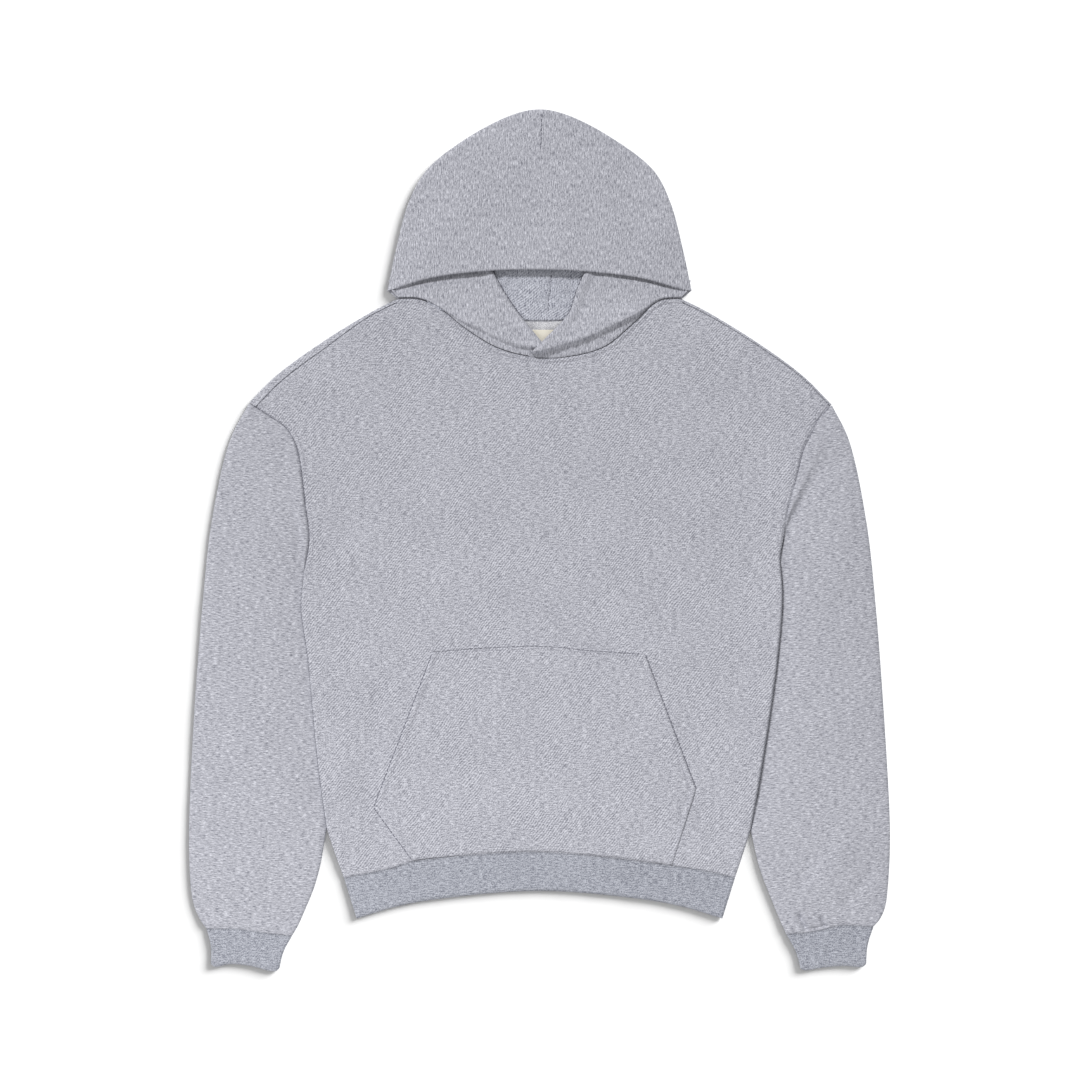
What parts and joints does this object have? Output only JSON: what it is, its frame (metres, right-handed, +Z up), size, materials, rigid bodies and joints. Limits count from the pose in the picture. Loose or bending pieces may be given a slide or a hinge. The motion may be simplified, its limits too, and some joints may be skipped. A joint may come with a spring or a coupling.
{
  "type": "pullover hoodie",
  "caption": "Long-sleeved pullover sweatshirt laid flat, with a hood, a kangaroo pocket, and rib cuffs and hem.",
  "frame": {"origin": "middle of the garment's outline, on the surface it lies on", "axes": "+Y from the hem to the hood, +X to the right as seen from above, +Z up from the surface"},
  "size_m": [0.77, 0.947, 0.0101],
  "materials": {
    "fleece": "heather grey brushed fleece jersey, matt",
    "lining": "heather grey jersey, matt",
    "rib": "heather grey rib knit, matt",
    "tape": "pale twill tape",
    "label": "plain cream woven label"
  },
  "bodies": {
    "root": {"front_panel": "fleece", "back_panel": "fleece", "sleeve_left": "fleece", "sleeve_right": "fleece", "pocket": "fleece", "hood_outer": "fleece", "hood_lining": "lining", "cuff_left": "rib", "cuff_right": "rib", "hem_rib": "rib", "neck_tape": "tape", "neck_label": "label"}
  },
  "joints": []
}
